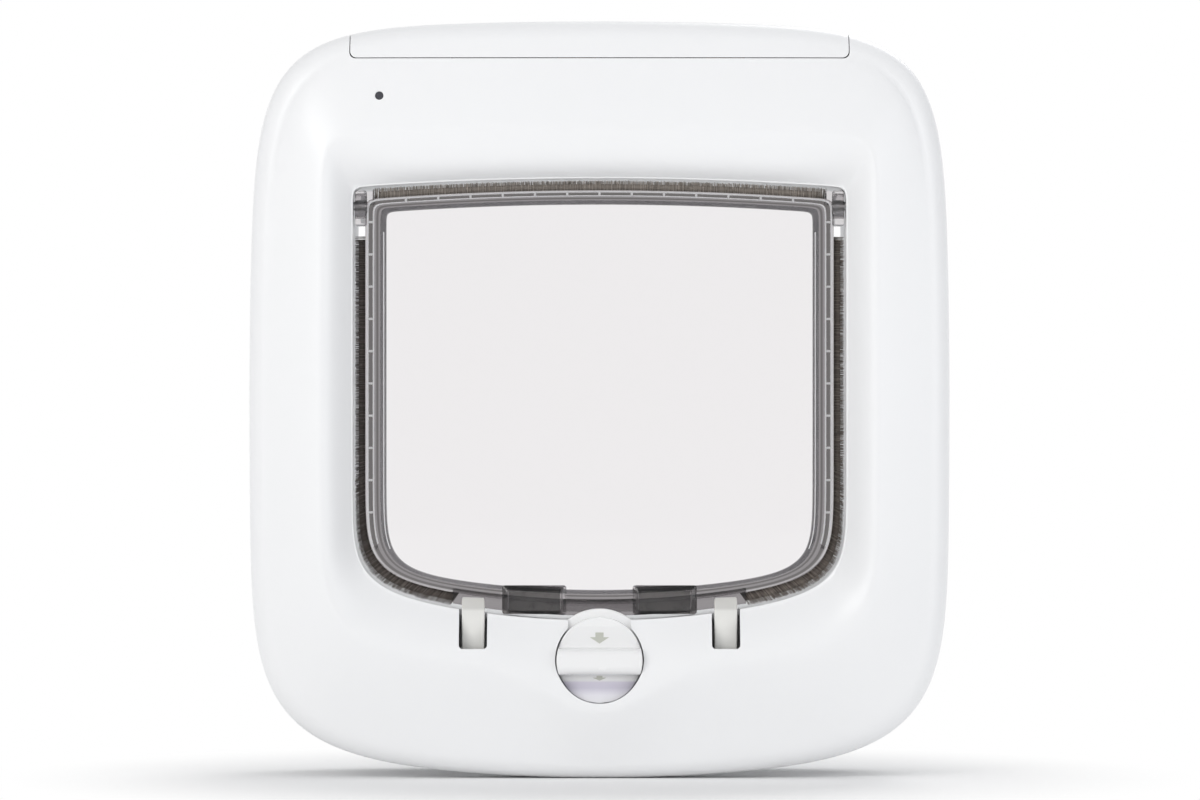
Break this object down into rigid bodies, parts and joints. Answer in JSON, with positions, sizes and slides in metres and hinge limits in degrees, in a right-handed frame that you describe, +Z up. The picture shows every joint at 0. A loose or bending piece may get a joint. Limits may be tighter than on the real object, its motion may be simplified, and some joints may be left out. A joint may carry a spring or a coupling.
{
  "type": "cat flap",
  "caption": "White moulded cat flap with a clear magnetic swing flap, sprung latches, a turning lock dial, a battery cover and an outside frame joined through the door.",
  "frame": {"origin": "centre of the inside frame's flange on the inner face of the door", "axes": "+Y into the door and out to the garden side, +Z up, +X right as seen from the room"},
  "size_m": [0.2392, 0.0826, 0.2586],
  "materials": {
    "shell": "smooth moulded white",
    "shell_rear": "fine matt white",
    "clear": "clear moulded plastic",
    "latch": "ivory moulded",
    "dial": "satin moulded",
    "pile": "dense brush pile",
    "magnet": "sintered, uncoated",
    "steel": "drawn",
    "zinc": "bright zinc plate",
    "copper": "enamelled copper wire",
    "board": "solder mask",
    "chip": "moulded epoxy",
    "cell": "printed sleeve",
    "tray": "black moulding",
    "lamp": "smoked lens",
    "button": "soft key"
  },
  "bodies": {
    "housing": {"interior_frame": "shell", "back_cover": "shell_rear", "antenna_coil": "copper", "exterior_frame": "shell", "sill_magnet_right": "magnet", "sill_magnet_left": "magnet", "latch_spring_right": "latch", "latch_spring_left": "latch", "solenoid_frame": "zinc", "solenoid_coil": "copper", "dial_washer": "steel", "battery_cell_1": "cell", "battery_cell_2": "cell", "battery_cell_3": "cell", "battery_cell_4": "cell", "battery_tray": "tray", "battery_contacts": "zinc", "circuit_board": "board", "board_parts": "chip", "board_screws": "zinc", "indicator_board": "board", "status_led": "lamp", "mounting_screws": "zinc", "screw_caps": "shell_rear", "case_screws": "zinc"},
    "flap": {"flap_panel": "clear", "flap_magnet_right": "magnet", "flap_magnet_left": "magnet", "hinge_pin_right": "steel", "hinge_pin_left": "steel", "pile_top": "pile", "pile_right": "pile", "pile_left": "pile"},
    "latches": {"latch_right": "latch", "latch_left": "latch", "latch_bar": "latch", "solenoid_plunger": "steel"},
    "dial": {"lock_dial": "dial"},
    "cover": {"battery_cover": "shell"},
    "button": {"learn_button": "button"}
  },
  "joints": [
    {"name": "flap_swing", "type": "hinge", "parent": "housing", "child": "flap", "pos_m": [0, -0.01, 0.066], "axis": [1, 0, 0], "range_deg": [0, 85]},
    {"name": "latch_slide", "type": "slide", "parent": "housing", "child": "latches", "axis": [0, 0, -1], "range_m": [0, 0.006], "stiffness_N_per_m": 60, "springref_m": -0.004, "deforming": ["latch_spring_right", "latch_spring_left"]},
    {"name": "dial_turn", "type": "hinge", "parent": "housing", "child": "dial", "pos_m": [0, 0, -0.0886], "axis": [0, 1, 0], "continuous": true},
    {"name": "cover_lift", "type": "slide", "parent": "housing", "child": "cover", "axis": [0, 0, 1], "range_m": [0, 0.025]},
    {"name": "button_press", "type": "slide", "parent": "housing", "child": "button", "axis": [0, 0, -1], "range_m": [0, 0.0008], "stiffness_N_per_m": 400, "springref_m": -0.0004}
  ]
}
